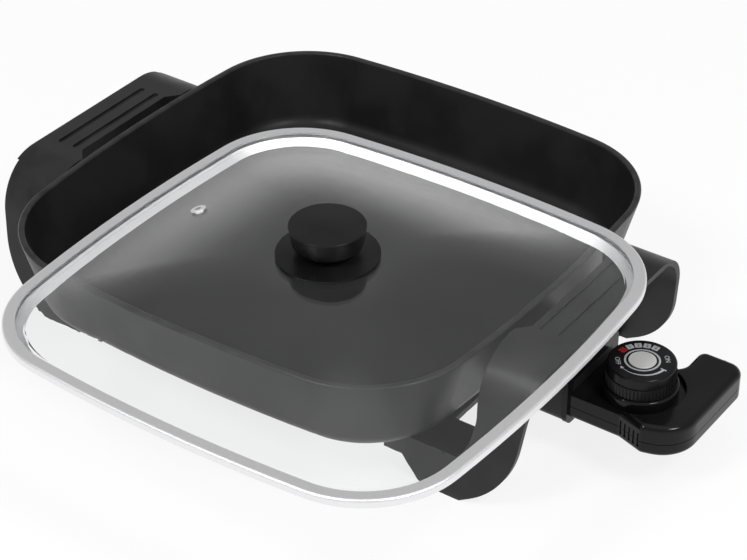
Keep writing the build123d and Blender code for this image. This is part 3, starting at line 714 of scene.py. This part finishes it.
def turned_mesh(name, corners, foot, material, steps=96):
    """Closed mesh turned about an upright axis through a foot point."""
    bm = bmesh.new()
    line = eased(corners)
    angles = [FULL_TURN * i / steps for i in range(steps)]
    rings = []
    for radius, height in line[1:-1]:
        spots = [foot + Vector((0.0, 0.0, height)) + outward(angle, radius) for angle in angles]
        rings.append([bm.verts.new(spot) for spot in spots])
    for low, high in zip(rings, rings[1:]):
        for i in range(steps):
            j = (i + 1) % steps
            bm.faces.new((low[i], low[j], high[j], high[i]))
    bm.faces.new(reversed(rings[0]))
    bm.faces.new(rings[-1])
    return smooth(finished_mesh(name, bm, material))


class SkilletFinish(bpy.types.PropertyGroup):
    """Colours of the skillet's finishes."""

    coating: bpy.props.FloatVectorProperty(
        name="Coating",
        description="Sprayed coating of the pan",
        subtype="COLOR",
        size=3,
        default=(0.0105, 0.0105, 0.011),
    )
    moulding: bpy.props.FloatVectorProperty(
        name="Moulding",
        description="Satin plastic of the handles",
        subtype="COLOR",
        size=3,
        default=(0.0125, 0.0125, 0.0135),
    )
    housing: bpy.props.FloatVectorProperty(
        name="Housing",
        description="Black plastic of heat control, dial and knob",
        subtype="COLOR",
        size=3,
        default=(0.006, 0.006, 0.0065),
    )
    steel: bpy.props.FloatVectorProperty(
        name="Steel",
        description="Satin band round the lid",
        subtype="COLOR",
        size=3,
        default=(0.86, 0.86, 0.87),
    )
    glass: bpy.props.FloatVectorProperty(
        name="Glass",
        description="Tint of the lid's glass",
        subtype="COLOR",
        size=3,
        default=(0.985, 0.99, 0.99),
    )
    silver_print: bpy.props.FloatVectorProperty(
        name="Silver print",
        description="Marks on the dial",
        subtype="COLOR",
        size=3,
        default=(0.5, 0.51, 0.53),
    )
    red_print: bpy.props.FloatVectorProperty(
        name="Red print",
        description="Mark of the dial's off position",
        subtype="COLOR",
        size=3,
        default=(0.32, 0.012, 0.014),
    )


class SkilletDetail(bpy.types.PropertyGroup):
    """Sizes of the small detail."""

    edge_round: bpy.props.FloatProperty(
        name="Edge round",
        description="Round on moulded edges",
        unit="LENGTH",
        default=0.4 * MM,
    )
    print_height: bpy.props.FloatProperty(
        name="Print height",
        description="Thickness of the dial's print",
        unit="LENGTH",
        default=0.05 * MM,
    )
    mark_radius: bpy.props.FloatProperty(
        name="Mark radius",
        description="Dial's axis to the heat marks",
        unit="LENGTH",
        default=13.4 * MM,
    )
    mark_size: bpy.props.FloatProperty(
        name="Mark size",
        description="Side of one heat mark",
        unit="LENGTH",
        default=3.9 * MM,
    )
    knob_neck: bpy.props.FloatProperty(
        name="Knob neck",
        description="Height of the knob's neck under its head",
        unit="LENGTH",
        default=4.0 * MM,
    )
    knob_taper: bpy.props.FloatProperty(
        name="Knob taper",
        description="How far the knob's head draws in towards its foot",
        unit="LENGTH",
        default=2.0 * MM,
    )
    first_mark: bpy.props.FloatProperty(
        name="First mark",
        description="Direction of the first heat mark",
        subtype="ANGLE",
        default=math.radians(88.0),
    )
    mark_step: bpy.props.FloatProperty(
        name="Mark step",
        description="Angle between heat marks",
        subtype="ANGLE",
        default=math.radians(20.7),
    )


class SkilletStage(bpy.types.PropertyGroup):
    """Camera and light."""

    azimuth: bpy.props.FloatProperty(
        name="Azimuth",
        description="Camera's direction round the skillet",
        subtype="ANGLE",
        default=math.radians(35.28),
    )
    elevation: bpy.props.FloatProperty(
        name="Elevation",
        description="Camera's height over the horizon",
        subtype="ANGLE",
        default=math.radians(34.757),
    )
    roll: bpy.props.FloatProperty(
        name="Roll",
        description="Camera's lean",
        subtype="ANGLE",
        default=math.radians(-0.186),
    )
    distance: bpy.props.FloatProperty(
        name="Distance",
        description="Camera from the rim's centre",
        unit="LENGTH",
        default=1.2904,
    )
    lens: bpy.props.FloatProperty(
        name="Lens",
        description="Focal length",
        subtype="DISTANCE_CAMERA",
        default=108.62,
    )
    lamp_power: bpy.props.FloatProperty(
        name="Lamp power",
        description="Power of the two soft lights together",
        subtype="POWER",
        default=26.0,
    )
    world_level: bpy.props.FloatProperty(
        name="Room level",
        description="Strength of the light from the room",
        default=1.0,
    )


class SKILLET_OT_pan(bpy.types.Operator):
    """Coat the pan and finish what is fixed under it"""

    bl_idname = "skillet.pan"
    bl_label = "Pan and Element"

    def execute(self, context):
        finish = context.scene.skillet_finish
        groups = finish_groups()
        # painted highlight: the top 0.9 mm of the rim is lightened 2.6 times, standing in for light
        # on its rounded edge
        rim = WearAndSheen(RIM_HEIGHT - 0.9 * MM, RIM_HEIGHT, fade=0.6 * MM, tone=2.6, polish=-0.08)
        satin = {"scale": 1500.0, "depth": 0.03, "wear": rim, "Specular_IOR_Level": 0.2}
        coating = moulded_finish("Sprayed coating", groups, finish.coating, 0.4, **satin)
        dress(coating, "pan")
        sheath = metal_finish("Element sheath", groups, SHEATH, 0.42, tint=SHEATH_TINT)
        dress(sheath, "heating_element")
        dress(metal_finish("Plated pins", groups, PLATED, 0.22), "terminal_pins")
        ceramic = moulded_finish("Ceramic bead", groups, CERAMIC, 0.55, 2500.0, 0.2)
        dress(ceramic, "terminal_beads")
        return {"FINISHED"}


class SKILLET_OT_handles(bpy.types.Operator):
    """Mould the two handles with their legs, and the socket guard"""

    bl_idname = "skillet.handles"
    bl_label = "Handles and Guard"

    def execute(self, context):
        finish = context.scene.skillet_finish
        detail = context.scene.skillet_detail
        feet = WearAndSheen(0.0, 1.5 * MM, fade=3.0 * MM, tone=2.2, polish=0.12)
        satin = {"scale": 2600.0, "depth": 0.02, "wear": feet, "Specular_IOR_Level": 0.3}
        groups = finish_groups()
        moulding = moulded_finish("Satin moulding", groups, finish.moulding, 0.42, **satin)
        for node in ("handle_left", "handle_right", "socket_guard"):
            softened(node, moulding, detail.edge_round)
        return {"FINISHED"}


class SKILLET_OT_control(bpy.types.Operator):
    """Finish the heat control's housing and what is inside it"""

    bl_idname = "skillet.control"
    bl_label = "Heat Control"

    def execute(self, context):
        finish = context.scene.skillet_finish
        groups = finish_groups()
        gloss = {"scale": 900.0, "depth": 0.01, "Specular_IOR_Level": 0.2}
        housing = moulded_finish("Glossy housing", groups, finish.housing, 0.16, **gloss)
        dress(housing, "control_top_shell", "control_bottom_shell", "control_flange")
        block = moulded_finish("Phenolic block", groups, finish.moulding, 0.5, 2200.0, 0.2)
        dress(block, "plug_block")
        plated = metal_finish("Plated sleeves", groups, PLATED, 0.22)
        dress(plated, "contact_sleeves", "thermostat_base")
        dress(metal_finish("Drawn probe", groups, PROBE_STEEL, 0.2), "sensor_probe")
        dress(moulded_finish("Rubber", groups, RUBBER, 0.6, 1800.0, 0.2), "cord_bushing")
        ceramic = moulded_finish("Clamp ceramic", groups, CERAMIC, 0.55, 2500.0, 0.2)
        dress(ceramic, "contact_stack")
        dress(metal_finish("Spring brass", groups, BRASS, 0.25), "contact_arms")
        dress(glass_finish("Lamp glass", LAMP_AMBER, 0.02), "pilot_lamp")
        return {"FINISHED"}


class SKILLET_OT_dial(bpy.types.Operator):
    """Finish the dial and print its marks"""

    bl_idname = "skillet.dial"
    bl_label = "Dial"

    def execute(self, context):
        finish = context.scene.skillet_finish
        detail = context.scene.skillet_detail
        groups = finish_groups()
        skirt_top = DIAL_LOW.z + 6.4 * MM
        grip = WearAndSheen(DIAL_LOW.z, skirt_top, fade=0.3 * MM, tone=1.8, polish=0.08)
        satin = {"scale": 1200.0, "depth": 0.02, "wear": grip, "Specular_IOR_Level": 0.2}
        cap = moulded_finish("Dial plastic", groups, finish.housing, 0.24, **satin)
        dress(cap, "dial")
        lens = turned_finish("Spun silver", groups, SPUN_SILVER, 0.45, 0.25 * MM, 0.2)
        dress(lens, "dial_lens")
        dress(metal_finish("Shaft brass", groups, BRASS, 0.25), "dial_shaft")
        pitch = 0.4 * MM
        silver = turned_finish("Silver print", groups, finish.silver_print, 0.36, pitch, 0.3)
        red = turned_finish("Red print", groups, finish.red_print, 0.4, pitch, 0.0)
        ink = turned_finish("Dark numerals", groups, INK, 0.45, pitch, 0.0)
        self.print_marks(detail, silver, red)
        self.print_words(detail, silver, ink)
        self.print_rings(detail, silver)
        return {"FINISHED"}

    def print_marks(self, detail, silver, red):
        """Silver marks for the heats and a red one for off."""
        tree = arc_marks_tree()
        sizes = {
            "Radius": detail.mark_radius,
            "Width": detail.mark_size,
            "Depth": detail.mark_size,
            "Thickness": detail.print_height,
        }
        heats = HEAT_STEPS - 1
        last = detail.first_mark + heats * detail.mark_step
        rows = {
            "dial_marks_heat": (silver, heats, detail.first_mark, (heats - 1) * detail.mark_step),
            "dial_mark_off": (red, 2, last, math.pi),
        }
        for name, (material, count, first, sweep) in rows.items():
            values = {"Count": count, "First Angle": first, "Sweep": sweep, "Material": material}
            mesh = run_tree(tree, [DIAL_TOP], {**sizes, **values})
            if name == "dial_mark_off":
                self.keep_side(mesh, last)
            new_piece(name, mesh, "dial")

    def keep_side(self, mesh, angle):
        """An arc has at least two points, so the mark opposite is removed again."""
        bm = bmesh.new()
        bm.from_mesh(mesh)
        away = [v for v in bm.verts if (v.co - DIAL_AXIS).dot(outward(angle)) < 0]
        bmesh.ops.delete(bm, geom=away, context="VERTS")
        bm.to_mesh(mesh)
        bm.free()

    def print_words(self, detail, silver, ink):
        """Numerals on the heat marks, and the two words beside the arrow."""
        on_marks = DIAL_TOP + Vector((0.0, 0.0, detail.print_height))
        numerals = bmesh.new()
        for i in range(HEAT_STEPS):
            angle = detail.first_mark + i * detail.mark_step
            mesh = raised_text(str(HEAT_STEPS - 1 - i), NUMERAL_SIZE, NUMERAL_HEIGHT)
            spot = Matrix.Translation(on_marks + outward(angle, detail.mark_radius))
            add_mesh(numerals, mesh, spot @ Matrix.Rotation(angle - QUARTER_TURN, 4, "Z"))
        mesh = finished_mesh("dial_numerals", numerals, ink)
        new_piece("dial_numerals", mesh, "dial")
        words = bmesh.new()
        rows = (("OFF", OFF_ANGLE, QUARTER_TURN), ("ON", ON_ANGLE, -QUARTER_TURN))
        for word, angle, turn in rows:
            mesh = raised_text(word, WORD_SIZE, detail.print_height)
            spot = Matrix.Translation(DIAL_TOP + outward(angle, detail.mark_radius))
            add_mesh(words, mesh, spot @ Matrix.Rotation(angle + turn, 4, "Z"))
        mesh = finished_mesh("dial_words", words, silver)
        new_piece("dial_words", mesh, "dial")

    def print_rings(self, detail, silver):
        """Ring round the lens, and the arrow that widens from its head to its stop."""
        stop = ARROW_START + ARROW_SWEEP
        tip = ARROW_START - ARROW_HEAD
        # inner and outer (first, last) radius in millimetres, then start, sweep and steps
        strips = (
            ((8.8, 8.8), (9.9, 9.9), 0.0, FULL_TURN, 96),
            ((13.0, 12.8), (13.3, 14.2), ARROW_START, ARROW_SWEEP, 40),
            ((11.6, 11.6), (15.2, 15.2), stop, ARROW_STOP, 3),
            ((13.2, 12.1), (13.21, 14.31), tip, ARROW_HEAD, 8),
        )
        low, high = DIAL_TOP.z, DIAL_TOP.z + detail.print_height
        bm = bmesh.new()
        for inner, outer, start, sweep, steps in strips:
            radii = [[radius * MM for radius in pair] for pair in (inner, outer)]
            flat_band(bm, DIAL_TOP, *radii, start, sweep, low, high, steps)
        new_piece("dial_rings", finished_mesh("dial_rings", bm, silver), "dial")


class SKILLET_OT_lid(bpy.types.Operator):
    """Finish the glass lid, its band and its knob"""

    bl_idname = "skillet.lid"
    bl_label = "Lid"

    def execute(self, context):
        finish = context.scene.skillet_finish
        groups = finish_groups()
        dress(glass_finish("Pressed glass", finish.glass, 0.004), "lid_glass")
        band = metal_finish("Satin band", groups, finish.steel, 0.45, along=1.0, contrast=0.15)
        dress(band, "lid_band", "lid_vent_grommet")
        satin = {"scale": 1800.0, "depth": 0.01, "Specular_IOR_Level": 0.2}
        knob = moulded_finish("Moulded knob", groups, finish.housing, 0.3, **satin)
        dress(knob, "lid_knob_skirt")
        self.turn_knob(context.scene.skillet_detail, knob)
        dress(metal_finish("Insert brass", groups, BRASS, 0.3), "lid_knob_insert")
        dress(moulded_finish("Seal rubber", groups, RUBBER, 0.6, 1800.0, 0.2), "lid_washer")
        return {"FINISHED"}

    def turn_knob(self, detail, material):
        """Knob with a deep head that draws in towards a short neck."""
        low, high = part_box("lid_knob")
        middle = (low + high) / 2
        foot = Vector((middle.x, middle.y, low.z))
        radius, height = (high.x - low.x) / 2, high.z - low.z
        neck = radius * KNOB_NECK_SHARE
        corners = [
            (0.0, 0.0, 0.0),
            (neck, 0.0, 0.4 * MM),
            (neck, detail.knob_neck, 0.8 * MM),
            (radius - detail.knob_taper, detail.knob_neck, 2.0 * MM),
            (radius, height, 0.9 * MM),
            (0.0, height, 0.0),
        ]
        mesh = turned_mesh("lid_knob_turned", corners, foot, material)
        piece = new_piece("lid_knob_turned", mesh, "lid")
        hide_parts("lid_knob")


class SKILLET_OT_screws(bpy.types.Operator):
    """Put cross-recess screws under the handles, the control and the lid"""

    bl_idname = "skillet.screws"
    bl_label = "Screws"

    def execute(self, context):
        steel = metal_finish("Screw steel", finish_groups(), SCREW_STEEL, 0.3)
        tree = screw_tree()
        # body, then head radius, head height and shank radius in millimetres
        rows = {
            "handle_screws_left": ("base", 4.2, 2.4, 2.0),
            "handle_screws_right": ("base", 4.2, 2.4, 2.0),
            "guard_screws": ("base", 4.2, 2.4, 2.0),
            "housing_screws": ("control", 2.8, 1.8, 1.4),
            "lid_screw": ("lid", 5.0, 2.6, 2.5),
        }
        for node, (body, head, height, shank) in rows.items():
            spots, length = upright_axes(node)
            values = {
                "Head Radius": head * MM,
                "Head Height": height * MM,
                "Shank Radius": shank * MM,
                "Length": length,
                "Recess": head * MM * RECESS_SHARE,
                "Material": steel,
            }
            mesh = smooth(run_tree(tree, spots, values), SCREW_EDGE_ANGLE)
            piece = new_piece(node + "_cross_recess", mesh, body)
            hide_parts(node)
        return {"FINISHED"}


class SKILLET_OT_stage(bpy.types.Operator):
    """Set up floor, room light, lamps and camera"""

    bl_idname = "skillet.stage"
    bl_label = "Studio"

    def execute(self, context):
        scene = context.scene
        stage = scene.skillet_stage
        scene.view_settings.view_transform = "Standard"
        self.floor()
        self.room(stage)
        self.lamps(stage)
        self.camera(stage)
        return {"FINISHED"}

    def floor(self):
        """Pale floor that keeps shadows, looks near white, and is clear from below."""
        bm = bmesh.new()
        bmesh.ops.create_grid(bm, x_segments=4, y_segments=4, size=FLOOR_REACH)
        mesh = bpy.data.meshes.new("studio_floor")
        bm.to_mesh(mesh)
        bm.free()
        pale = {"Base_Color": (0.9, 0.9, 0.9, 1.0), "Roughness": 0.9, "Specular_IOR_Level": 0.0}
        material, tree, shader = new_material("Pale floor", **pale)
        path = add(tree, "ShaderNodeLightPath").outputs
        seen = math_node(tree, "MAXIMUM", path["Is Camera Ray"], path["Is Glossy Ray"])
        seen = math_node(tree, "MAXIMUM", seen, path["Is Transmission Ray"])
        share = math_node(tree, "MULTIPLY", seen, FLOOR_GLOW)
        glow = add(tree, "ShaderNodeEmission", {"Color": WHITE, "Strength": 1.0})
        lit = {0: share, 1: shader.outputs[0], 2: glow.outputs[0]}
        mixed = add(tree, "ShaderNodeMixShader", lit)
        under = add(tree, "ShaderNodeNewGeometry").outputs["Backfacing"]
        clear = add(tree, "ShaderNodeBsdfTransparent")
        sides = {0: under, 1: mixed.outputs[0], 2: clear.outputs[0]}
        sided = add(tree, "ShaderNodeMixShader", sides)
        tree.links.new(sided.outputs[0], tree.nodes["Material Output"].inputs["Surface"])
        mesh.materials.append(material)
        floor = linked("studio_floor", mesh)
        floor.location.z = -FLOOR_DROP

    def room(self, stage):
        """White below the horizon, and grey overhead where gloss and glass look."""
        world = bpy.data.worlds.new("Studio room")
        world.use_nodes = True
        tree = world.node_tree
        way = add(tree, "ShaderNodeTexCoord").outputs["Generated"]
        height = add(tree, "ShaderNodeSeparateXYZ", {0: way}).outputs[2]
        ramp = add(tree, "ShaderNodeValToRGB", {0: spread(tree, height, -1.0, 1.0)})
        for stop in ramp.color_ramp.elements:
            stop.color = WHITE
        for place, level in ROOM_LEVELS:
            ramp.color_ramp.elements.new(place).color = (level, level, level, 1.0)
        background = tree.nodes["Background"]
        tree.links.new(ramp.outputs[0], background.inputs["Color"])
        background.inputs["Strength"].default_value = stage.world_level
        bpy.context.scene.world = world

    def lamps(self, stage):
        """Two round softboxes that share the power and face the skillet."""
        for name, place in LAMP_PLACES.items():
            lamp = bpy.data.lights.new(name, "AREA")
            lamp.shape = "DISK"
            lamp.size = LAMP_SIZE
            lamp.energy = stage.lamp_power / len(LAMP_PLACES)
            holder = linked(name, lamp)
            holder.location = place
            holder.rotation_euler = (LAMP_AIM - place).to_track_quat("-Z", "Y").to_euler()

    def camera(self, stage):
        """Camera at the viewing angle, set off from the rim's centre."""
        a, e, r = stage.azimuth, stage.elevation, stage.roll
        back = Vector((math.sin(a) * math.cos(e), -math.cos(a) * math.cos(e), math.sin(e)))
        level = outward(a)
        rise = back.cross(level)
        right = level * math.cos(r) + rise * math.sin(r)
        up = rise * math.cos(r) - level * math.sin(r)
        data = bpy.data.cameras.new("photo_camera")
        data.sensor_width = SENSOR_WIDTH
        data.lens = stage.lens
        data.shift_x = CAMERA_SHIFT
        camera = linked("photo_camera", data)
        rim = Vector((0.0, 0.0, RIM_HEIGHT))
        place = rim + right * CAMERA_RIGHT - up * CAMERA_DOWN + back * stage.distance
        turn = Matrix((right, up, back)).transposed().to_4x4()
        camera.matrix_world = Matrix.Translation(place) @ turn
        bpy.context.scene.camera = camera


class SKILLET_PT_sidebar(bpy.types.Panel):
    """The skillet's finishes, sizes and steps"""

    bl_idname = "SKILLET_PT_sidebar"
    bl_label = "Electric Skillet"
    bl_space_type = "VIEW_3D"
    bl_region_type = "UI"
    bl_category = "Skillet"

    def draw(self, context):
        for group in GROUPS:
            values = getattr(context.scene, group)
            box = self.layout.box()
            for name in values.__annotations__:
                box.prop(values, name)
        for operator in OPERATORS:
            self.layout.operator(operator.bl_idname)


OPERATORS = (
    SKILLET_OT_pan,
    SKILLET_OT_handles,
    SKILLET_OT_control,
    SKILLET_OT_dial,
    SKILLET_OT_lid,
    SKILLET_OT_screws,
    SKILLET_OT_stage,
)
GROUPS = {
    "skillet_finish": SkilletFinish,
    "skillet_detail": SkilletDetail,
    "skillet_stage": SkilletStage,
}
CLASSES = (*GROUPS.values(), *OPERATORS, SKILLET_PT_sidebar)


def register():
    for cls in CLASSES:
        bpy.utils.register_class(cls)
    for name, cls in GROUPS.items():
        setattr(bpy.types.Scene, name, bpy.props.PointerProperty(type=cls))


def unregister():
    for name in GROUPS:
        delattr(bpy.types.Scene, name)
    for cls in reversed(CLASSES):
        bpy.utils.unregister_class(cls)


def main():
    register()
    for operator in OPERATORS:
        group, name = operator.bl_idname.split(".")
        getattr(getattr(bpy.ops, group), name)()


if __name__ == "__main__":
    main()
